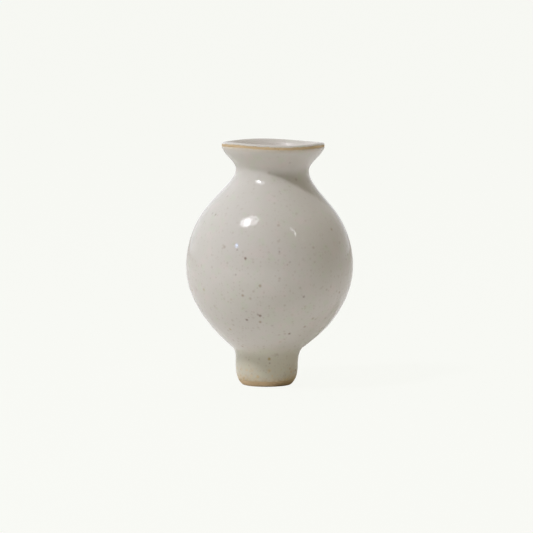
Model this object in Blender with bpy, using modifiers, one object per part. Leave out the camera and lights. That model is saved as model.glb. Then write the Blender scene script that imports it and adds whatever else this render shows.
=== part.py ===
"""Ceramic bud vase, 100 mm tall and 68 mm across its bulb.

Three stoneware sections, a foot, a bulb and a collar, are joined by two rings of slip. One coat of
glaze covers the outside, and another covers the lip and the inside. Between the coats the arris of
the rim is bare clay, and so is the foot below its trimmed bevel.

Every piece is a turned shell cut from one cross-section, so that all its walls run parallel. The
whole pot then takes the slight lean and the wavy rim that it has from being made by hand.

Lengths are in metres, +Z is up, and the origin is the middle of the base.
"""

import math

import bpy
import numpy as np

MM = 0.001

# ---- Cross-section of the finished pot, as (radius, height) in millimetres ----------------------
# A smooth curve runs through these stations, up the outside, over the rim and down the inside.
OUTSIDE = [
    (10.2, 0.0),  # edge of the base
    (11.3, 1.3),  # bevel trimmed round the foot
    (12.2, 3.2),  # top of the bevel
    (12.9, 8.8),  # foot, widening upwards
    (14.4, 15.2),  # tight corner where the foot meets the bulb
    (15.2, 15.9),
    (22.55, 22.6),  # underside of the bulb
    (34.05, 45.4),  # just below the widest point of the bulb
    (28.6, 69.1),  # shoulder
    (20.15, 79.6),  # root of the neck
    (15.05, 89.4),  # just above the waist of the neck
    (20.4, 96.5),  # flare
    (21.1, 98.6),  # widest point of the rim
    (20.8, 99.6),  # outer arris of the lip
]
CREST = (20.05, 100.0)
INSIDE = [
    (19.2, 99.6),  # inner arris of the lip
    (17.0, 96.2),  # inside of the flare
    (12.3, 89.2),  # throat
    (17.8, 77.5),  # under the shoulder
    (26.0, 67.2),
    (31.1, 45.4),
    (20.2, 25.2),  # bowl, closing in towards the foot
    (11.4, 17.4),
    (9.4, 13.0),  # well inside the foot
    (8.7, 9.0),
    (7.2, 6.0),
    (4.6, 5.2),  # edge of the flat floor
]

# ---- Underside, in metres -----------------------------------------------------------------------
FOOT_RING_INNER_RADIUS = 7.2 * MM
RECESS_SLOPE = 0.7 * MM
RECESS_DEPTH = 1.0 * MM

# ---- Coats and joints, in metres ----------------------------------------------------------------
GLAZE_THICKNESS = 0.4 * MM
CLAY_DEPTH = 0.6 * MM  # from the glazed surface down to the clay, with a 0.2 mm gap between them
EDGE_GAP = 0.3 * MM  # along the wall, between the edge of a coat and the bare clay
JOINT_GAP = 0.3 * MM
SLIP_THICKNESS = 0.4 * MM
FOOT_JOINT = 13.9 * MM  # height of the foot's top face
COLLAR_JOINT = 84.0 * MM  # height of the bulb's top face
OUTER_GLAZE_BOTTOM = 2.4 * MM
OUTER_GLAZE_TOP = 97.9 * MM
INNER_GLAZE_START = 99.3 * MM  # on the outer side of the lip

# ---- Marks of the hand, in metres and degrees ---------------------------------------------------
FOOT_SHIFT = -1.2 * MM  # the foot stands to the left of the bulb's axis
COLLAR_SHIFT = 1.45 * MM  # and the collar to the right
FOOT_BLEND = (7.0 * MM, 26.0 * MM)  # heights over which the axis wanders back to the bulb's
COLLAR_BLEND = (75.0 * MM, 94.0 * MM)
RIM_WAVE = 0.3 * MM
RIM_WAVE_FROM = 88.0 * MM
RIM_TILT_PHASE = 148.0
RIM_RIPPLE_PHASE = 53.0
RIM_RIPPLE_LOBES = 3

# ---- Fineness of the mesh -----------------------------------------------------------------------
SEGMENTS = 40  # round the axis
TURN_PER_STEP = 16.0  # degrees that the outline may turn between two rings
SHORTEST_STEP = 0.3 * MM
LONGEST_STEP = 7.0 * MM
POINTS_PER_SPAN = 120

COLLECTION = "bud_vase"


def smooth_curve(stations):
    """Closely spaced points on the natural cubic spline through the stations."""
    at = np.array(stations, float)
    chord = np.linalg.norm(np.diff(at, axis=0), axis=1)
    count = len(at)
    system = np.eye(count)
    target = np.zeros((count, 2))
    for i in range(1, count - 1):
        system[i, i - 1 : i + 2] = chord[i - 1], 2 * (chord[i - 1] + chord[i]), chord[i]
        target[i] = 6 * ((at[i + 1] - at[i]) / chord[i] - (at[i] - at[i - 1]) / chord[i - 1])
    bend = np.linalg.solve(system, target)
    points = []
    for i, length in enumerate(chord):
        for along in np.linspace(0, length, POINTS_PER_SPAN, endpoint=False):
            left = length - along
            start_share = at[i] / length - bend[i] * length / 6
            end_share = at[i + 1] / length - bend[i + 1] * length / 6
            curved = (bend[i] * left**3 + bend[i + 1] * along**3) / (6 * length)
            points.append(curved + start_share * left + end_share * along)
    points.append(at[-1])
    return np.array(points)


class CrossSection:
    """The pot's outline from the edge of the base, over the rim, to the edge of the floor."""

    def __init__(self):
        self.points = smooth_curve([*OUTSIDE, CREST, *INSIDE]) * MM
        self.directions = np.gradient(self.points, axis=0)
        self.directions /= np.linalg.norm(self.directions, axis=1)[:, None]
        self.crest = len(OUTSIDE) * POINTS_PER_SPAN

    def outer_at(self, height):
        """Index of the point on the outer side at this height."""
        return int(np.searchsorted(self.points[: self.crest, 1], height))

    def run(self, first, last, depth):
        """Points from index first to last, set this deep into the wall, as few as the curve allows."""
        kept = [first]
        turned = 0.0
        for i in range(first + 1, last):
            cosine = np.clip(self.directions[i] @ self.directions[i - 1], -1, 1)
            turned += math.degrees(math.acos(cosine))
            stepped = np.linalg.norm(self.points[i] - self.points[kept[-1]])
            to_last = np.linalg.norm(self.points[i] - self.points[last])
            if min(stepped, to_last) < SHORTEST_STEP:
                continue
            if turned >= TURN_PER_STEP or stepped >= LONGEST_STEP:
                kept.append(i)
                turned = 0.0
        kept.append(last)
        into_wall = np.stack([-self.directions[kept, 1], self.directions[kept, 0]], axis=1)
        return [tuple(p) for p in self.points[kept] + into_wall * depth]


def clipped(run, low, high):
    """The stretch of a run between two heights, with a point exactly at each height it crosses."""
    kept = []
    for a, b in zip(run, run[1:]):
        for limit in sorted((low, high), reverse=bool(a[1] > b[1])):
            if min(a[1], b[1]) < limit < max(a[1], b[1]):
                share = (limit - a[1]) / (b[1] - a[1])
                kept.append((a[0] + share * (b[0] - a[0]), limit))
        if low <= b[1] <= high:
            kept.append(b)
    return [run[0], *kept] if low <= run[0][1] <= high else kept


def smooth_step(value, start, end):
    share = np.clip((value - start) / (end - start), 0, 1)
    return share * share * (3 - 2 * share)


def shape_by_hand(points):
    """Moves turned points to where they lie on the hand-made pot: its lean and its wavy rim."""
    height = points[:, 2].copy()
    angle = np.arctan2(points[:, 1], points[:, 0])
    points[:, 0] += FOOT_SHIFT * (1 - smooth_step(height, *FOOT_BLEND))
    points[:, 0] += COLLAR_SHIFT * smooth_step(height, *COLLAR_BLEND)
    tilt = np.cos(angle + math.radians(RIM_TILT_PHASE))
    ripple = np.cos(RIM_RIPPLE_LOBES * angle + math.radians(RIM_RIPPLE_PHASE))
    points[:, 2] += RIM_WAVE * (tilt + ripple) * smooth_step(height, RIM_WAVE_FROM, CREST[1] * MM)
    return points


def clockwise(outline):
    """The outline in the order that runs down the outer side, so that the turned faces point out."""
    r, z = np.array(outline).T
    area = np.sum(r * np.roll(z, -1) - np.roll(r, -1) * z)
    return outline[::-1] if area > 0 else outline


def turned(name, outline, material, collection):
    """A piece turned round +Z from its outline. An outline that ends on the axis at both ends stays open."""
    outline = clockwise(outline)
    on_axis = [i for i, (r, _) in enumerate(outline) if r == 0]
    if on_axis == [0, len(outline) - 1]:
        edges = [(i, i + 1) for i in range(len(outline) - 1)]
    elif on_axis:
        start = on_axis[1]
        outline = outline[start:] + outline[:start]
        edges = [(i, i + 1) for i in range(len(outline) - 1)]
    else:
        edges = [(i, (i + 1) % len(outline)) for i in range(len(outline))]
    profile = bpy.data.meshes.new(name + "_profile")
    profile.from_pydata([(r, 0, z) for r, z in outline], edges, [])
    guide = bpy.data.objects.new(name + "_profile", profile)
    bpy.context.scene.collection.objects.link(guide)
    screw = guide.modifiers.new("turn", "SCREW")
    screw.axis = "Z"
    screw.angle = math.tau
    screw.steps = SEGMENTS
    screw.render_steps = SEGMENTS
    screw.use_merge_vertices = True
    screw.merge_threshold = 0.00001

    graph = bpy.context.evaluated_depsgraph_get()
    mesh = bpy.data.meshes.new_from_object(guide.evaluated_get(graph))
    bpy.data.objects.remove(guide)
    points = np.array([v.co for v in mesh.vertices])
    mesh.vertices.foreach_set("co", shape_by_hand(points).ravel())
    mesh.name = name
    mesh.materials.clear()
    mesh.materials.append(material)
    mesh.shade_smooth()
    mesh.set_sharp_from_angle(angle=math.radians(30))
    piece = bpy.data.objects.new(name, mesh)
    collection.objects.link(piece)
    return piece


def coat(section, first, last):
    """Outline of a glaze coat that lies on the wall between two points of the cross-section."""
    surface = section.run(first, last, 0)
    underneath = section.run(first, last, GLAZE_THICKNESS)
    return surface + underneath[::-1]


def clay_outside(section):
    """The clay's outer side, from the base over the bare arris to the crest: it lies under the glaze,
    and comes up flush with it where it is bare."""
    bare_foot = section.outer_at(OUTER_GLAZE_BOTTOM - EDGE_GAP)
    bare_arris = section.outer_at(OUTER_GLAZE_TOP + EDGE_GAP)
    arris_end = section.outer_at(INNER_GLAZE_START - EDGE_GAP)
    return (
        section.run(0, bare_foot, 0)
        + section.run(bare_foot, bare_arris, CLAY_DEPTH)
        + section.run(bare_arris, arris_end, 0)
        + section.run(arris_end, section.crest, CLAY_DEPTH)[:-1]
    )


def clay_inside(section):
    """The clay's inner side, from the crest down to the edge of the floor."""
    return section.run(section.crest, len(section.points) - 1, CLAY_DEPTH)


def underside():
    """The foot's underside, from the axis out to the foot ring: a shallow trimmed recess."""
    return [
        (0, RECESS_DEPTH),
        (FOOT_RING_INNER_RADIUS - RECESS_SLOPE, RECESS_DEPTH),
        (FOOT_RING_INNER_RADIUS, 0),
    ]


def floor_level(section, depth):
    """The middle of the floor, at this depth below the surface that water stands on."""
    return (0, section.points[-1][1] - depth)


def foot_outline(section):
    outside = clipped(clay_outside(section), 0, FOOT_JOINT)
    inside = clipped(clay_inside(section), 0, FOOT_JOINT)
    return underside() + outside + inside + [floor_level(section, CLAY_DEPTH)]


def ring_outline(section, low, high):
    """A band of the clay wall between two heights."""
    outside = clipped(clay_outside(section), low, high)
    inside = clipped(clay_inside(section), low, high)
    return outside + inside


def inner_glaze_outline(section):
    first = section.outer_at(INNER_GLAZE_START)
    last = len(section.points) - 1
    surface = section.run(first, last, 0)
    underneath = section.run(first, last, GLAZE_THICKNESS)
    middle = [floor_level(section, 0), floor_level(section, GLAZE_THICKNESS)]
    return surface + middle + underneath[::-1]


def surface_material(name, colour, roughness, coat_weight=0.0):
    material = bpy.data.materials.new(name)
    material.use_nodes = True
    shader = material.node_tree.nodes["Principled BSDF"]
    shader.inputs["Base Color"].default_value = (*colour, 1)
    shader.inputs["Roughness"].default_value = roughness
    shader.inputs["Metallic"].default_value = 0.0
    shader.inputs["Coat Weight"].default_value = coat_weight
    return material


def main():
    for leftover in list(bpy.data.objects):
        bpy.data.objects.remove(leftover)
    vase = bpy.data.collections.new(COLLECTION)
    bpy.context.scene.collection.children.link(vase)

    stoneware = surface_material("stoneware", (0.47, 0.33, 0.18), 0.8)
    slip = surface_material("slip", (0.52, 0.38, 0.23), 0.85)
    glaze = surface_material("speckled_glaze", (0.62, 0.59, 0.53), 0.2, coat_weight=0.5)

    section = CrossSection()
    foot_slip = FOOT_JOINT + JOINT_GAP
    bulb_bottom = foot_slip + SLIP_THICKNESS + JOINT_GAP
    collar_slip = COLLAR_JOINT + JOINT_GAP
    collar_bottom = collar_slip + SLIP_THICKNESS + JOINT_GAP
    outer_bottom = section.outer_at(OUTER_GLAZE_BOTTOM)
    outer_top = section.outer_at(OUTER_GLAZE_TOP)

    outlines = {
        "foot": (foot_outline(section), stoneware),
        "foot_slip_seam": (ring_outline(section, foot_slip, foot_slip + SLIP_THICKNESS), slip),
        "bulb": (ring_outline(section, bulb_bottom, COLLAR_JOINT), stoneware),
        "collar_slip_seam": (ring_outline(section, collar_slip, collar_slip + SLIP_THICKNESS), slip),
        "collar": (ring_outline(section, collar_bottom, 2 * CREST[1] * MM), stoneware),
        "outer_glaze": (coat(section, outer_bottom, outer_top), glaze),
        "inner_glaze": (inner_glaze_outline(section), glaze),
    }
    for name, (outline, material) in outlines.items():
        turned(name, outline, material, vase)


main()
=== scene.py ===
"""The looks of the bud vase: smooth hand-thrown walls, speckled glaze and bare stoneware.

Every piece of the CAD is replaced by a finer shell turned from the same cross-section. The heights at
which the pieces end come from the frame, except at the lip, where the rim's wave hides them. Lengths
are in metres, +Z is up, and the photographed side faces -Y.
"""

import math

import bpy
import numpy as np
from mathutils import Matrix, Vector

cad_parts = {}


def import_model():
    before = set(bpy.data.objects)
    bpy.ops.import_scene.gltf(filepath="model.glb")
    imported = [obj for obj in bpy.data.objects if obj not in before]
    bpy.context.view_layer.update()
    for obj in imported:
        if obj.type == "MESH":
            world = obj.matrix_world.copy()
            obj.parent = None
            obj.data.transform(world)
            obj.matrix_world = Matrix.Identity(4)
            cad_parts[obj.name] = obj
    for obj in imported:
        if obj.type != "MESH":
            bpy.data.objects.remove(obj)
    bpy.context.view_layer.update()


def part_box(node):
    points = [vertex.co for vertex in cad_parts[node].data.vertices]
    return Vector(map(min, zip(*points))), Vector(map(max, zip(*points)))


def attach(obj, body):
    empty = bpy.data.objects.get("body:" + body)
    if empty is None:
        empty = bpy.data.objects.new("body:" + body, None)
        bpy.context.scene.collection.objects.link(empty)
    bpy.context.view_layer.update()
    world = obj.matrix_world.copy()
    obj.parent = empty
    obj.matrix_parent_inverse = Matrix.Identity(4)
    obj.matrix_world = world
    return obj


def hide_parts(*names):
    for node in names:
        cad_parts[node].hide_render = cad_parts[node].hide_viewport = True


MM = 0.001

# ---- Cross-section, the same as the CAD's, as (radius, height) in millimetres --------------------
OUTSIDE = [
    (10.2, 0.0),
    (11.3, 1.3),
    (12.2, 3.2),
    (12.9, 8.8),
    (14.4, 15.2),
    (15.2, 15.9),
    (22.55, 22.6),
    (34.05, 45.4),
    (28.6, 69.1),
    (20.15, 79.6),
    (15.05, 89.4),
    (20.4, 96.5),
    (21.1, 98.6),
    (20.8, 99.6),
]
CREST = (20.05, 100.0)
INSIDE = [
    (19.2, 99.6),
    (17.0, 96.2),
    (12.3, 89.2),
    (17.8, 77.5),
    (26.0, 67.2),
    (31.1, 45.4),
    (20.2, 25.2),
    (11.4, 17.4),
    (9.4, 13.0),
    (8.7, 9.0),
    (7.2, 6.0),
    (4.6, 5.2),
]
POINTS_PER_SPAN = 200

# ---- Marks of the hand ---------------------------------------------------------------------------
FOOT_SHIFT = -1.2 * MM
COLLAR_SHIFT = 1.45 * MM
FOOT_BLEND = (7.0 * MM, 26.0 * MM)
COLLAR_BLEND = (75.0 * MM, 94.0 * MM)
RIM_WAVE = 0.3 * MM
RIM_WAVE_FROM = 88.0 * MM
RIM_TILT_PHASE = 148.0
RIM_RIPPLE_PHASE = 53.0
RIM_RIPPLE_LOBES = 3
THROWING_RIDGE = 0.018 * MM
THROWING_PITCH = 5.2 * MM
THROWING_WANDER = 0.7  # radians that a ridge strays from an even spiral
RIDGES_START = (14 * MM, 26 * MM)
RIDGES_END = (84 * MM, 92 * MM)
OVALITY = 0.1 * MM
OVAL_PHASE = 0.6
OVAL_START = (10 * MM, 45 * MM)

# ---- Thickness of the coats and depth of the clay below the glazed surface -----------------------
COAT = 0.4 * MM
COVERED_CLAY = 0.45 * MM
BARE_CLAY = 0.1 * MM
COAT_EDGE_DROP = 0.2 * MM  # the surface of a coat rolls down this far at its edge
COAT_EDGE_ROLL = 0.55 * MM  # over this length
COAT_LAP = 0.3 * MM  # a coat reaches this far past its CAD edge, over the gap there
OUTER_GLAZE_TOP = 97.9 * MM  # before the rim's wave
INNER_GLAZE_START = 99.3 * MM  # on the outer side of the lip, before the rim's wave

# ---- Underside -----------------------------------------------------------------------------------
FOOT_RING_INNER = 7.2 * MM
RECESS_DEPTH = 1.0 * MM
RECESS_FILLET = 0.6 * MM
RECESS_STEPS = 9
RING_CHAMFER = 0.3 * MM
TRIM_RIDGE = 0.06 * MM
TRIM_PITCH = 0.9 * MM
STEPS_PER_TRIM_RIDGE = 6
BASE_WEAR = 0.35 * MM
BASE_FLARE = 0.35  # how far the foot's wall leans out for each unit of height
BASE_WEAR_STEPS = 6

SEGMENTS = 256
UNROLLED = 0.3  # metres of outline that the UV map's height holds
SHARP_EDGE = 50.0  # degrees
FINE_TURN = 4.0  # degrees that the outline turns before it gets a new ring
FINE_STEP = 1.2 * MM  # or how far it runs
COAT_EDGE_STEP = COAT_EDGE_ROLL / 8
ABOVE_THE_RIM = 1.0  # any height past the top of the pot


# ---- Cross-section -------------------------------------------------------------------------------


def smooth_curve(stations):
    """Closely spaced points on the natural cubic spline through the stations."""
    at = np.array(stations, float)
    chord = np.linalg.norm(np.diff(at, axis=0), axis=1)
    count = len(at)
    system = np.eye(count)
    target = np.zeros((count, 2))
    for i in range(1, count - 1):
        system[i, i - 1 : i + 2] = chord[i - 1], 2 * (chord[i - 1] + chord[i]), chord[i]
        target[i] = 6 * ((at[i + 1] - at[i]) / chord[i] - (at[i] - at[i - 1]) / chord[i - 1])
    bend = np.linalg.solve(system, target)
    points = []
    for i, length in enumerate(chord):
        for along in np.linspace(0, length, POINTS_PER_SPAN, endpoint=False):
            left = length - along
            start_share = at[i] / length - bend[i] * length / 6
            end_share = at[i + 1] / length - bend[i + 1] * length / 6
            curved = (bend[i] * left**3 + bend[i + 1] * along**3) / (6 * length)
            points.append(curved + start_share * left + end_share * along)
    points.append(at[-1])
    return np.array(points)


class CrossSection:
    """The pot's outline from the edge of the base, over the rim, to the edge of the floor."""

    def __init__(self):
        self.points = smooth_curve([*OUTSIDE, CREST, *INSIDE]) * MM
        steps = np.linalg.norm(np.diff(self.points, axis=0), axis=1)
        self.length = np.concatenate([[0], np.cumsum(steps)])
        self.directions = np.gradient(self.points, axis=0)
        self.directions /= np.linalg.norm(self.directions, axis=1)[:, None]
        self.crest = len(OUTSIDE) * POINTS_PER_SPAN
        self.last = len(self.points) - 1

    def outer_at(self, height):
        """Index of the point on the outer side at this height."""
        return int(np.searchsorted(self.points[: self.crest, 1], height))

    def run(self, first, last, depth=lambda length: 0 * length):
        """(radius, height, distance along the outline) from index first to last. depth gives how deep
        each point lies in the wall, from its distance to the nearer end of the run."""
        kept = [first]
        turned = 0.0
        for i in range(first + 1, last):
            cosine = np.clip(self.directions[i] @ self.directions[i - 1], -1, 1)
            turned += math.degrees(math.acos(cosine))
            stepped = self.length[i] - self.length[kept[-1]]
            near_end = min(self.length[i] - self.length[first], self.length[last] - self.length[i])
            longest = FINE_STEP if near_end > 2 * COAT_EDGE_ROLL else COAT_EDGE_STEP
            if turned >= FINE_TURN or stepped >= longest:
                kept.append(i)
                turned = 0.0
        kept.append(last)
        from_first, to_last = self.length[kept] - self.length[first], self.length[last] - self.length[kept]
        to_end = np.minimum(from_first, to_last)
        into_wall = np.stack([-self.directions[kept, 1], self.directions[kept, 0]], axis=1)
        moved = self.points[kept] + into_wall * depth(to_end)[:, None]
        return [(r, z, along) for (r, z), along in zip(moved, self.length[kept])]


def rolled_edge(to_end):
    """Depth of a coat's surface, which rolls down into the clay at the coat's edge."""
    share = np.clip(to_end / COAT_EDGE_ROLL, 0, 1)
    return COAT_EDGE_DROP * (1 - np.sqrt(1 - (1 - share) ** 2))


def at_depth(depth):
    return lambda to_end: np.full(len(to_end), depth)


def smooth_step(value, start, end):
    share = np.clip((value - start) / (end - start), 0, 1)
    return share * share * (3 - 2 * share)


def shape_by_hand(radius, height, angle):
    """Where a turned point lies on the hand-made pot: its lean, its wavy rim and its throwing ridges."""
    ridge = np.cos(math.tau * height / THROWING_PITCH - angle + THROWING_WANDER * np.cos(angle))
    on_wall = smooth_step(height, *RIDGES_START) * (1 - smooth_step(height, *RIDGES_END))
    oval = OVALITY * np.cos(2 * angle + OVAL_PHASE) * smooth_step(height, *OVAL_START)
    outward = radius + np.where(radius > 0, THROWING_RIDGE * ridge * on_wall + oval, 0)
    x = outward * np.cos(angle)
    x += FOOT_SHIFT * (1 - smooth_step(height, *FOOT_BLEND))
    x += COLLAR_SHIFT * smooth_step(height, *COLLAR_BLEND)
    tilt = np.cos(angle + math.radians(RIM_TILT_PHASE))
    ripple = np.cos(RIM_RIPPLE_LOBES * angle + math.radians(RIM_RIPPLE_PHASE))
    lift = RIM_WAVE * (tilt + ripple) * smooth_step(height, RIM_WAVE_FROM, CREST[1] * MM)
    return x, outward * np.sin(angle), height + lift


# ---- Turning a piece -----------------------------------------------------------------------------


def turned(name, outline, material, nodes, slot):
    """A shell turned round +Z from its closed outline, which stands for the named CAD nodes. A point on
    the axis becomes a pole. The UV map unrolls the pot: U is the turn, and V the distance along the
    pot's outline, in units of UNROLLED."""
    angles = np.arange(SEGMENTS) * math.tau / SEGMENTS
    vertices = []
    rings = []
    for r, z, _ in outline:
        start = len(vertices)
        if r == 0:
            x, y, high = shape_by_hand(np.zeros(1), np.full(1, z), np.zeros(1))
            vertices.append((x[0], y[0], high[0]))
            rings.append([start] * SEGMENTS)
        else:
            x, y, high = shape_by_hand(np.full(SEGMENTS, r), np.full(SEGMENTS, z), angles)
            vertices.extend(zip(x, y, high))
            rings.append(list(range(start, start + SEGMENTS)))
    faces = []
    unrolled = []
    for i, low in enumerate(rings):
        j = (i + 1) % len(rings)
        high = rings[j]
        if low[0] == low[1] and high[0] == high[1]:
            continue
        for k in range(SEGMENTS):
            n = (k + 1) % SEGMENTS
            corners = [(low[k], k, i), (low[n], k + 1, i), (high[n], k + 1, j), (high[k], k, j)]
            seen = {}
            for vertex, turn, ring in corners:
                seen.setdefault(vertex, (turn / SEGMENTS, outline[ring][2] / UNROLLED))
            faces.append(list(seen))
            unrolled.extend(seen.values())
    mesh = bpy.data.meshes.new(name)
    mesh.from_pydata(vertices, [], faces)
    mesh.uv_layers.new(name="unrolled").data.foreach_set("uv", np.array(unrolled).ravel())
    mesh.materials.append(material)
    mesh.validate()
    mesh.shade_smooth()
    mesh.set_sharp_from_angle(angle=math.radians(SHARP_EDGE))
    piece = bpy.data.objects.new(name, mesh)
    bpy.context.scene.collection.objects.link(piece)
    make_faces_point_outward(piece)
    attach(piece, "root")
    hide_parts(*nodes)
    return piece


def make_faces_point_outward(piece):
    mesh = piece.data
    mesh.calc_loop_triangles()
    at = np.array([v.co for v in mesh.vertices])
    corners = at[np.array([t.vertices for t in mesh.loop_triangles])]
    volume = np.einsum("ij,ij->i", corners[:, 0], np.cross(corners[:, 1], corners[:, 2])).sum()
    if volume < 0:
        mesh.flip_normals()


# ---- Outlines of the pieces ----------------------------------------------------------------------


class Levels:
    """Heights at which the CAD pieces end."""

    def __init__(self):
        self.foot_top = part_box("foot")[1].z
        self.foot_slip = [corner.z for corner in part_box("foot_slip_seam")]
        self.bulb = [corner.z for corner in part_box("bulb")]
        self.collar_slip = [corner.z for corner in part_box("collar_slip_seam")]
        self.collar_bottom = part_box("collar")[0].z
        self.outer_glaze_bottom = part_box("outer_glaze")[0].z


def clipped(run, low, high):
    """The stretch of a run between two heights, with a point exactly at each height it crosses."""
    kept = []
    for a, b in zip(run, run[1:]):
        for limit in sorted((low, high), reverse=bool(a[1] > b[1])):
            if min(a[1], b[1]) < limit < max(a[1], b[1]):
                share = (limit - a[1]) / (b[1] - a[1])
                kept.append(tuple(np.array(a) + share * (np.array(b) - np.array(a))))
        if low <= b[1] <= high:
            kept.append(b)
    return [run[0], *kept] if low <= run[0][1] <= high else kept


def clay_outside(section, levels):
    """The clay's outer side: bare foot, then under the outer coat, then the bare arris of the lip."""
    foot_edge = section.outer_at(levels.outer_glaze_bottom + COAT_EDGE_ROLL)
    arris_start = section.outer_at(OUTER_GLAZE_TOP - COAT_EDGE_ROLL)
    arris_end = section.outer_at(INNER_GLAZE_START + COAT_EDGE_ROLL / 2)
    return (
        section.run(0, foot_edge, at_depth(BARE_CLAY))
        + section.run(foot_edge, arris_start, at_depth(COVERED_CLAY))
        + section.run(arris_start, arris_end, at_depth(BARE_CLAY))
        + section.run(arris_end, section.crest, at_depth(COVERED_CLAY))[:-1]
    )


def clay_inside(section):
    return section.run(section.crest, section.last, at_depth(COVERED_CLAY))


def underside():
    """The foot's underside from the axis out to the foot ring: a trimmed recess with tool rings."""
    level = [(0, RECESS_DEPTH, 0)]
    step = TRIM_PITCH / STEPS_PER_TRIM_RIDGE
    for r in np.arange(2 * step, FOOT_RING_INNER - 2 * RECESS_FILLET, step):
        z = RECESS_DEPTH + TRIM_RIDGE * math.cos(math.tau * r / TRIM_PITCH)
        level.append((r, z, 0))
    for share in np.linspace(0, 1, RECESS_STEPS):
        turn = share * math.pi / 2
        r = FOOT_RING_INNER - 2 * RECESS_FILLET + 1.4 * RECESS_FILLET * math.sin(turn)
        z = RECESS_DEPTH * math.cos(turn) * 0.8 + RECESS_DEPTH * 0.2 * (1 - share)
        level.append((r, z, 0))
    level.append((FOOT_RING_INNER + RING_CHAMFER, 0, 0))
    return level


def foot_outline(section, levels):
    outside = clipped(clay_outside(section, levels), 0.0, levels.foot_top)
    inside = clipped(clay_inside(section), 0.0, levels.foot_top)
    floor = (0, section.points[-1][1] - COVERED_CLAY, section.length[-1])
    return underside() + rounded_base_edge(outside) + inside + [floor]


def rounded_base_edge(outside):
    """The outside with its sharp lowest edge worn round."""
    inner = outside[0][0] - BASE_WEAR
    arc = []
    for turn in np.linspace(0, math.pi / 2, BASE_WEAR_STEPS):
        z = BASE_WEAR * (1 - math.cos(turn))
        arc.append((inner + BASE_WEAR * math.sin(turn) + BASE_FLARE * z, z, z))
    return arc + [point for point in outside if point[1] > BASE_WEAR * 1.05]


def ring_outline(section, levels, low, high):
    outside = clipped(clay_outside(section, levels), low, high)
    inside = clipped(clay_inside(section), low, high)
    return outside + inside


def coat_outline(section, first, last):
    surface = section.run(first, last, rolled_edge)
    underneath = section.run(first, last, at_depth(COAT))
    return surface + underneath[::-1]


def inner_coat_outline(section):
    first = section.outer_at(INNER_GLAZE_START - COAT_LAP)
    surface = section.run(first, section.last, rolled_lip_edge)
    underneath = section.run(first, section.last, at_depth(COAT))
    top = section.points[-1][1]
    middle = [(0, top, section.length[-1]), (0, top - COAT, section.length[-1])]
    return surface + middle + underneath[::-1]


def rolled_lip_edge(to_end):
    """The inner coat rolls down at the lip, where its run starts, and runs level into the floor."""
    rolled = rolled_edge(to_end)
    rolled[len(rolled) // 2 :] = 0
    return rolled


# ---- Materials -----------------------------------------------------------------------------------


class Shader:
    """A material's node tree with its Principled BSDF, and short ways to add nodes to it."""

    def __init__(self, name):
        self.material = bpy.data.materials.new(name)
        self.material.use_nodes = True
        self.tree = self.material.node_tree
        self.surface = self.tree.nodes["Principled BSDF"]
        self.place = self.node("ShaderNodeTexCoord").outputs["Object"]
        place = self.node("ShaderNodeSeparateXYZ", {0: self.place})
        self.behind, self.height = place.outputs["Y"], place.outputs["Z"]
        unrolled = self.node("ShaderNodeUVMap", uv_map="unrolled").outputs["UV"]
        split = self.node("ShaderNodeSeparateXYZ", {0: unrolled})
        self.along = self.maths("MULTIPLY", split.outputs["Y"], UNROLLED)

    def node(self, kind, inputs=None, **settings):
        made = self.tree.nodes.new(kind)
        for name, value in settings.items():
            setattr(made, name, value)
        for key, value in (inputs or {}).items():
            self.feed(made.inputs[key], value)
        return made

    def feed(self, socket, value):
        if isinstance(value, bpy.types.NodeSocket):
            self.tree.links.new(value, socket)
        else:
            socket.default_value = value

    def maths(self, operation, a, b, c=0.0):
        return self.node("ShaderNodeMath", {0: a, 1: b, 2: c}, operation=operation).outputs[0]

    def ragged(self, size, reach, detail=4):
        """A distance up to half of reach either way, from noise."""
        return self.maths("MULTIPLY", self.maths("SUBTRACT", self.noise(size, detail), 0.5), reach)

    def moved(self, offset):
        """The place in the pattern, moved so that two patterns of one kind differ."""
        if not offset:
            return self.place
        return self.node("ShaderNodeMapping", {0: self.place, "Location": (offset,) * 3}).outputs[0]

    def noise(self, size, detail=3.0, roughness=0.5, offset=0.0):
        """Noise from 0 to 1 whose features are about this size in metres."""
        inputs = {"Vector": self.moved(offset), "Scale": 1 / size}
        inputs |= {"Detail": detail, "Roughness": roughness}
        return self.node("ShaderNodeTexNoise", inputs).outputs[0]

    def ramp(self, value, low, high, to_low=0.0, to_high=1.0):
        """A smooth step from to_low, at low, to to_high, at high."""
        inputs = {"Value": value, 1: low, 2: high, 3: to_low, 4: to_high}
        made = self.node("ShaderNodeMapRange", inputs, interpolation_type="SMOOTHSTEP")
        return made.outputs[0]

    def mix(self, share, a, b):
        made = self.node("ShaderNodeMix", data_type="RGBA")
        self.feed(made.inputs["Factor"], share)
        self.feed(made.inputs[6], (*a, 1) if isinstance(a, tuple) else a)
        self.feed(made.inputs[7], (*b, 1) if isinstance(b, tuple) else b)
        return made.outputs[2]

    def dots(self, spacing, radius, softness, ragged=0.0, offset=0.0):
        """Round dots: the share of the way into a dot, and a random value for each. ragged moves the
        dots' edges in or out."""
        inputs = {"Vector": self.moved(offset), "Scale": 1 / spacing, "Randomness": 1.0}
        cells = self.node("ShaderNodeTexVoronoi", inputs)
        away = self.maths("MULTIPLY_ADD", cells.outputs["Distance"], spacing, ragged)
        kind = self.node("ShaderNodeSeparateXYZ", {0: cells.outputs["Color"]}).outputs["X"]
        return self.ramp(away, radius * (1 + softness), radius * (1 - softness)), kind

    def bump(self, height, strength, distance, normal=None):
        inputs = {"Height": height, "Strength": strength, "Distance": distance}
        if normal:
            inputs["Normal"] = normal
        return self.node("ShaderNodeBump", inputs).outputs[0]


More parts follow.
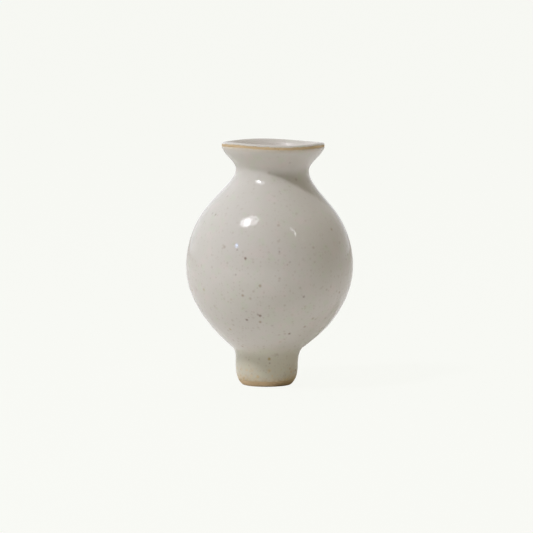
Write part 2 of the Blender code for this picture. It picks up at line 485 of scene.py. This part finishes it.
# ---- Colours, as linear red, green and blue -------------------------------------------------------
CREAM = (0.59, 0.555, 0.50)
SHADED_CREAM = (0.58, 0.55, 0.485)
PINKISH_CREAM = (0.61, 0.55, 0.50)
GREENISH_CREAM = (0.565, 0.565, 0.47)
# Olive for the foot: partly the thin glaze's own colour, partly painted shade under the bulb.
OLIVE_CREAM_AND_PAINTED_SHADE = (0.575, 0.535, 0.38)
# Painted light: a lighter cream for the inside of the pot, where light falls into the mouth.
PAINTED_LIGHT_INSIDE_CREAM = (0.68, 0.635, 0.575)
THIN_GLAZE = (0.50, 0.375, 0.205)
THIN_GLAZE_LIGHT = (0.64, 0.49, 0.26)
SPECK_COLOUR = (0.165, 0.085, 0.055)
FRECKLE_COLOUR = (0.34, 0.25, 0.17)
GOLDEN_FRECKLE_COLOUR = (0.40, 0.31, 0.13)
STONEWARE = (0.58, 0.425, 0.245)
STONEWARE_DARK = (0.51, 0.37, 0.205)
STONEWARE_GRAIN = (0.63, 0.49, 0.31)
# Painted shade: a dark brown for the base's edge and underside, a contact shadow where the foot meets the
# floor.
STONEWARE_PAINTED_CONTACT_SHADE = (0.30, 0.19, 0.095)
GROG = (0.26, 0.16, 0.09)
SLIP = (0.55, 0.42, 0.27)
SLIP_DARK = (0.47, 0.34, 0.20)

# ---- Glaze ---------------------------------------------------------------------------------------
GLOSS = (0.06, 0.10)  # roughness outside, from the smoothest patches to the dullest
DULLER_INSIDE = 0.2
LIP_BAND = (1.3 * MM, 2.4 * MM)  # how far below the crest the tan band runs, along the outline
LIP_SKIRT = 4.5 * MM  # how far below the crest its faint tint ends
# Where the foot turns olive: partly thin glaze, partly painted shade under the bulb.
OLIVE_AND_PAINTED_SHADE_BELOW = (20 * MM, 10 * MM)  # from no olive to the most of it
THIN_BELOW = (7.0 * MM, 1.6 * MM)  # from none of the clay's tan to nearly all of it
SPOTTED_BELOW = (11 * MM, 4 * MM)
FRONT_DROP = 2.0 * MM  # the glaze hangs this much lower at the front of the foot
FOOT_FRONT = (-13 * MM, -5 * MM)  # the Y over which the drop ends

# Tan spots near the base, as (spacing in mm, radius in mm).
FOOT_SPOTS = [(1.3, 0.45), (2.2, 0.7)]

# Layers of dark iron specks, which noise scatters over the whole pot, as (spacing in mm, radius in mm,
# share left out, strength of the strongest, offset of the pattern in metres).
IRON_SPECKS = [
    (6.0, 0.54, 0.35, 0.75, 0.021),
    (4.4, 0.42, 0.65, 0.55, 0.035),
]
SPECK_RAGGEDNESS = 0.2 * MM

# Layers of freckles, as (spacing in mm, radius in mm, share left out, strength of the strongest,
# colour).
FRECKLES = [
    (1.2, 0.34, 0.45, 0.26, FRECKLE_COLOUR),
    (2.1, 0.45, 0.58, 0.42, FRECKLE_COLOUR),
    (3.6, 0.56, 0.66, 0.75, FRECKLE_COLOUR),
    (5.2, 0.56, 0.68, 0.75, GOLDEN_FRECKLE_COLOUR),
]


def speckled_glaze(section):
    s = Shader("speckled_glaze")
    crest = section.length[section.crest]
    inside = s.ramp(s.along, crest, crest + 3 * MM)
    # The inside, from just past the crest down, is painted a lighter cream: painted light in the pot's
    # hollow.
    cream = s.mix(inside, tinted_cream(s), PAINTED_LIGHT_INSIDE_CREAM)
    cream = speckled(s, freckled(s, cream))
    tan = s.maths("MAXIMUM", thin_at_foot(s), thin_at_lip(s, crest))
    gold = s.mix(s.ramp(s.noise(1.3 * MM, detail=2), 0.35, 0.65), THIN_GLAZE, THIN_GLAZE_LIGHT)
    s.feed(s.surface.inputs["Base Color"], s.mix(tan, cream, gold))

    # The glaze is glossy outside and dull inside, where it was poured.
    gloss = s.ramp(s.noise(9 * MM, detail=3), 0.3, 0.7, *GLOSS)
    dull = s.ramp(s.along, crest + 0.3 * MM, crest + 1.3 * MM, 0.0, DULLER_INSIDE)
    s.feed(s.surface.inputs["Roughness"], s.maths("ADD", gloss, dull))
    s.surface.inputs["IOR"].default_value = 1.5
    waves = s.bump(s.noise(7 * MM, detail=2), 0.25, 0.1 * MM)
    peel = s.bump(s.noise(1.1 * MM, detail=2), 0.12, 0.02 * MM, waves)
    pit, kind = s.dots(2.6 * MM, 0.12 * MM, 0.6)
    pinholes = s.maths("MULTIPLY", pit, s.ramp(kind, 0.55, 0.75))
    s.feed(s.surface.inputs["Normal"], s.bump(pinholes, 0.5, -0.05 * MM, peel))
    return s.material


def tinted_cream(s):
    """Cream drifting from pinkish to greenish; on the foot olive: thin glaze and painted shade."""
    broad = s.ramp(s.noise(22 * MM, detail=2), 0.35, 0.65)
    pink = s.ramp(s.noise(6 * MM, detail=3), 0.52, 0.70, 0.0, 0.8)
    green = s.ramp(s.noise(4 * MM, detail=3, offset=3.0), 0.52, 0.70, 0.0, 0.8)
    cream = s.mix(broad, CREAM, SHADED_CREAM)
    cream = s.mix(pink, cream, PINKISH_CREAM)
    cream = s.mix(green, cream, GREENISH_CREAM)
    # Low on the foot the cream turns olive and a little darker: thin glaze and painted shade.
    return s.mix(s.ramp(s.height, *OLIVE_AND_PAINTED_SHADE_BELOW, 0.0, 0.6), cream, OLIVE_CREAM_AND_PAINTED_SHADE)


def freckled(s, cream):
    """Fine faint freckles, denser low on the pot and rare on the collar."""
    on_belly = s.ramp(s.height, 70 * MM, 40 * MM, 0.55, 1.0)
    on_foot = s.ramp(s.height, 16 * MM, 10 * MM, 0.0, 0.5)
    below_collar = s.ramp(s.height, 92 * MM, 84 * MM, 0.35, 1.0)
    density = s.maths("MULTIPLY", s.maths("ADD", on_belly, on_foot), below_collar)
    for spacing, radius, left_out, strength, colour in FRECKLES:
        freckle, kind = s.dots(spacing * MM, radius * MM, 0.8)
        share = s.maths("MULTIPLY", freckle, s.ramp(kind, left_out, 1.0, 0.0, strength))
        cream = s.mix(s.maths("MULTIPLY", share, density), cream, colour)
    return cream


def speckled(s, cream):
    """Dark iron specks with ragged edges, at random places all over the pot, and fewer on the collar."""
    below_collar = s.ramp(s.height, 96 * MM, 82 * MM, 0.2, 1.0)
    ragged = s.ramp(s.noise(0.5 * MM, detail=2), 0.0, 1.0, -SPECK_RAGGEDNESS, SPECK_RAGGEDNESS)
    for spacing, radius, left_out, strength, offset in IRON_SPECKS:
        speck, kind = s.dots(spacing * MM, radius * MM, 0.7, ragged, offset)
        share = s.maths("MULTIPLY", speck, s.ramp(kind, left_out, 1.0, 0.0, strength))
        cream = s.mix(s.maths("MULTIPLY", share, below_collar), cream, SPECK_COLOUR)
    return cream


def thin_at_foot(s):
    """How much of the clay's tan shows through the glaze as it thins towards the base."""
    ragged_height = s.maths("ADD", s.height, s.ragged(1.8 * MM, 4.0 * MM))
    drop = s.ramp(s.behind, *FOOT_FRONT, FRONT_DROP, 0.0)
    edge = s.ramp(s.maths("ADD", ragged_height, drop), *THIN_BELOW, 0.0, 0.95)
    spots = 0.0
    for spacing, radius in FOOT_SPOTS:
        spot, kind = s.dots(spacing * MM, radius * MM, 0.8)
        spots = s.maths("MAXIMUM", spots, s.maths("MULTIPLY", spot, s.ramp(kind, 0.3, 0.9)))
    near_base = s.ramp(ragged_height, *SPOTTED_BELOW, 0.0, 0.95)
    return s.maths("MAXIMUM", edge, s.maths("MULTIPLY", spots, near_base))


def thin_at_lip(s, crest):
    """The tan band where the glaze runs thin over the outer arris of the lip."""
    nearest, farthest = LIP_BAND
    to_crest = s.maths("SUBTRACT", crest, s.maths("ADD", s.along, s.ragged(2.2 * MM, 0.9 * MM)))
    below = s.ramp(to_crest, farthest + 0.35 * MM, farthest - 0.25 * MM)
    above = s.ramp(to_crest, nearest - 0.15 * MM, nearest + 0.15 * MM)
    patchy = s.ramp(s.noise(2.0 * MM, detail=3, offset=5.0), 0.36, 0.52, 0.35, 0.95)
    band = s.maths("MULTIPLY", s.maths("MULTIPLY", below, above), patchy)
    skirt = s.ramp(to_crest, LIP_SKIRT, farthest, 0.0, 0.3)
    return s.maths("MAXIMUM", band, s.maths("MULTIPLY", skirt, above))


def bare_stoneware():
    s = Shader("bare_stoneware")
    grain = s.noise(0.5 * MM, detail=5, roughness=0.7)
    patch = s.noise(3.5 * MM, detail=3)
    tan = s.mix(s.ramp(patch, 0.3, 0.7), STONEWARE, STONEWARE_DARK)
    tan = s.mix(s.ramp(grain, 0.35, 0.7, 0.0, 0.35), tan, STONEWARE_GRAIN)
    grog, kind = s.dots(1.3 * MM, 0.22 * MM, 0.5)
    tan = s.mix(s.maths("MULTIPLY", grog, s.ramp(kind, 0.4, 0.9, 0.0, 0.7)), tan, GROG)
    # The base's edge and the whole underside are darkened: painted contact shadow where the foot meets the
    # floor.
    painted_contact_shade = s.ramp(s.along, 0.9 * MM, 0.1 * MM, 0.0, 0.4)  # the base's edge
    s.feed(s.surface.inputs["Base Color"], s.mix(painted_contact_shade, tan, STONEWARE_PAINTED_CONTACT_SHADE))
    s.feed(s.surface.inputs["Roughness"], s.ramp(grain, 0.3, 0.7, 0.7, 0.88))
    tooth = s.bump(grain, 0.5, 0.06 * MM)
    s.feed(s.surface.inputs["Normal"], s.bump(s.noise(2.5 * MM), 0.3, 0.1 * MM, tooth))
    return s.material


def joining_slip():
    s = Shader("joining_slip")
    lumps = s.noise(1.2 * MM, detail=4)
    s.feed(s.surface.inputs["Base Color"], s.mix(s.ramp(lumps, 0.3, 0.7), SLIP, SLIP_DARK))
    s.feed(s.surface.inputs["Roughness"], s.ramp(lumps, 0.3, 0.7, 0.8, 0.92))
    s.feed(s.surface.inputs["Normal"], s.bump(lumps, 0.6, 0.1 * MM))
    return s.material


# ---- Room, light and camera ----------------------------------------------------------------------

FLOOR_SEEN = (0.912, 0.920, 0.878)  # what the camera sees, apart from a trace of the vase's shadow
FLOOR_TRACE = (0.03, 0.03, 0.03)
FLOOR_PAINT = (0.92, 0.91, 0.88)  # what lights the vase from below

# The room's light as (red, green, blue): its level, and what it gains towards the right, the back and
# the top. It is bright and neutral on the left and behind the vase, and dim and warm on the right.
ROOM_LIGHT = [
    (0.36, 0.36, 0.32),
    (-0.17, -0.22, -0.27),
    (0.45, 0.45, 0.50),
    (0.22, 0.22, 0.23),
]
# The same at the horizon, where it is about as bright as the floor, so that no edge shows in the glaze.
HORIZON_LIGHT = [
    (0.65, 0.65, 0.65),
    (-0.02, -0.02, -0.02),
    (0.30, 0.30, 0.35),
    (0.0, 0.0, 0.0),
]
HORIZON_POWER = 6
KEY_COLOUR = (0.90, 0.89, 1.0)
KEY_POWER = 16.1
KEY_SIZE = (0.22, 0.20)
KEY_DIRECTION = (52.8, -50.4)
LAMP_DISTANCE = 1.6
LAMPS_FACE = (0, 0, 60 * MM)
SOFT_WHITE = (0.95, 0.94, 1.0)
SKY_BLUE = (0.36, 0.56, 1.0)

# Lit faces that only show as reflections in the glaze, as (name, elevation, azimuth, size in metres,
# brightness in units of the room's, colour, roll). Azimuth is from the front to the right.
GLINTS = [
    ("key_face", 52.8, -53.6, (0.40, 0.31), 8.0, SOFT_WHITE, 20),
    ("key_core", 52.4, -50.5, (0.20, 0.18), 9.0, SOFT_WHITE, 0),
    ("key_reflector", 58.0, -43.0, (0.46, 0.36), 4.6, SOFT_WHITE, 0),
    ("strip_top", 45.8, 41.0, (0.05, 0.20), 7.0, SOFT_WHITE, 30),
    ("strip_bottom", 40.5, 44.2, (0.05, 0.26), 7.0, SOFT_WHITE, 2),
    ("small_window", 23.6, -50.7, (0.13, 0.13), 12.0, SKY_BLUE, 0),
]
VIEW_DISTANCE = 1.66
VIEW_MIDDLE = (0, 0, 50 * MM)  # what the view's distance and elevation are measured from
VIEW_ELEVATION = 5.5
VIEW_LENS = 272.4
VIEW_AIM = (-1.28 * MM, 0, 48.66 * MM)


def make_floor():
    """A plain floor. It bounces light as pale paint does, and looks evenly bright from any side."""
    bpy.ops.mesh.primitive_circle_add(vertices=64, radius=20, fill_type="NGON", location=(0, 0, 0))
    floor = bpy.context.object
    floor.name = "floor"
    material = bpy.data.materials.new("pale_floor")
    material.use_nodes = True
    nodes, links = material.node_tree.nodes, material.node_tree.links
    seen = nodes["Principled BSDF"]
    seen.inputs["Base Color"].default_value = (*FLOOR_TRACE, 1)
    seen.inputs["Roughness"].default_value = 1.0
    seen.inputs["Specular IOR Level"].default_value = 0.0
    seen.inputs["Emission Color"].default_value = (*FLOOR_SEEN, 1)
    seen.inputs["Emission Strength"].default_value = 1.0
    paint = nodes.new("ShaderNodeBsdfDiffuse")
    paint.inputs["Color"].default_value = (*FLOOR_PAINT, 1)
    ray = nodes.new("ShaderNodeLightPath")
    either = nodes.new("ShaderNodeMixShader")
    links.new(ray.outputs["Is Camera Ray"], either.inputs["Fac"])
    links.new(paint.outputs["BSDF"], either.inputs[1])
    links.new(seen.outputs["BSDF"], either.inputs[2])
    links.new(either.outputs["Shader"], nodes["Material Output"].inputs["Surface"])
    floor.data.materials.append(material)


def towards(elevation, azimuth):
    """Unit vector. Azimuth is in degrees from the front, to the right."""
    up, round_ = math.radians(elevation), math.radians(azimuth)
    return Vector((math.cos(up) * math.sin(round_), -math.cos(up) * math.cos(round_), math.sin(up)))


def make_lamp(name, elevation, azimuth, size, power, colour, roll=0.0):
    """A soft box that faces the vase. size is (width, height) in metres."""
    data = bpy.data.lights.new(name, "AREA")
    data.shape = "ELLIPSE"
    data.size, data.size_y = size
    data.energy = power
    data.color = colour
    lamp = bpy.data.objects.new(name, data)
    bpy.context.scene.collection.objects.link(lamp)
    middle = Vector(LAMPS_FACE)
    lamp.location = middle + towards(elevation, azimuth) * LAMP_DISTANCE
    lamp.rotation_euler = (middle - lamp.location).to_track_quat("-Z", "Y").to_euler()
    lamp.rotation_euler.rotate_axis("Z", math.radians(roll))
    return lamp


def make_lights():
    key = make_lamp("key_softbox", *KEY_DIRECTION, KEY_SIZE, KEY_POWER, KEY_COLOUR)
    key.visible_glossy = False
    for name, elevation, azimuth, size, brightness, colour, roll in GLINTS:
        area = math.pi / 4 * size[0] * size[1]
        glint = make_lamp(name, elevation, azimuth, size, brightness * math.pi * area, colour, roll)
        glint.visible_diffuse = False


def make_world():
    """Room light, whose brightness changes smoothly with direction and meets the floor's low down."""
    world = bpy.data.worlds.new("studio")
    bpy.context.scene.world = world
    world.use_nodes = True
    nodes, links = world.node_tree.nodes, world.node_tree.links

    def maths(operation, a, b):
        made = nodes.new("ShaderNodeMath")
        made.operation = operation
        for socket, value in zip(made.inputs, (a, b)):
            if isinstance(value, bpy.types.NodeSocket):
                links.new(value, socket)
            else:
                socket.default_value = value
        return made.outputs[0]

    direction = nodes.new("ShaderNodeTexCoord").outputs["Generated"]

    def sloping(colours, channel):
        level, *slope = [colour[channel] for colour in colours]
        made = nodes.new("ShaderNodeVectorMath")
        made.operation = "DOT_PRODUCT"
        made.inputs[1].default_value = slope
        links.new(direction, made.inputs[0])
        return maths("MAXIMUM", maths("ADD", made.outputs["Value"], level), 0.0)

    split = nodes.new("ShaderNodeSeparateXYZ")
    links.new(direction, split.inputs[0])
    low = maths("POWER", maths("SUBTRACT", 1.0, split.outputs["Z"]), HORIZON_POWER)
    light = nodes.new("ShaderNodeCombineColor")
    for channel in range(3):
        room = sloping(ROOM_LIGHT, channel)
        horizon = sloping(HORIZON_LIGHT, channel)
        blended = maths("ADD", room, maths("MULTIPLY", low, maths("SUBTRACT", horizon, room)))
        links.new(blended, light.inputs[channel])
    links.new(light.outputs[0], nodes["Background"].inputs["Color"])


def make_camera():
    data = bpy.data.cameras.new("camera")
    data.lens = VIEW_LENS
    data.sensor_width = 36
    data.clip_end = 100
    camera = bpy.data.objects.new("camera", data)
    bpy.context.scene.collection.objects.link(camera)
    camera.location = Vector(VIEW_MIDDLE) + towards(VIEW_ELEVATION, 0) * VIEW_DISTANCE
    camera.rotation_euler = (Vector(VIEW_AIM) - camera.location).to_track_quat("-Z", "Y").to_euler()
    bpy.context.scene.camera = camera


def main():
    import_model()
    levels = Levels()
    section = CrossSection()
    glaze = speckled_glaze(section)
    clay = bare_stoneware()
    slip = joining_slip()

    turned("foot_clay", foot_outline(section, levels), clay, ["foot"], "stoneware")
    bulb = ring_outline(section, levels, *levels.bulb)
    turned("bulb_clay", bulb, clay, ["bulb"], "stoneware")
    collar = ring_outline(section, levels, levels.collar_bottom, ABOVE_THE_RIM)
    turned("collar_clay", collar, clay, ["collar"], "stoneware")
    foot_slip = ring_outline(section, levels, *levels.foot_slip)
    turned("foot_slip", foot_slip, slip, ["foot_slip_seam"], "slip")
    collar_slip = ring_outline(section, levels, *levels.collar_slip)
    turned("collar_slip", collar_slip, slip, ["collar_slip_seam"], "slip")
    bottom = section.outer_at(levels.outer_glaze_bottom - COAT_LAP)
    top = section.outer_at(OUTER_GLAZE_TOP + COAT_LAP)
    turned("outer_coat", coat_outline(section, bottom, top), glaze, ["outer_glaze"], "glaze")
    turned("inner_coat", inner_coat_outline(section), glaze, ["inner_glaze"], "glaze")

    make_floor()
    make_world()
    make_lights()
    make_camera()
    bpy.context.scene.view_settings.view_transform = "Standard"


main()
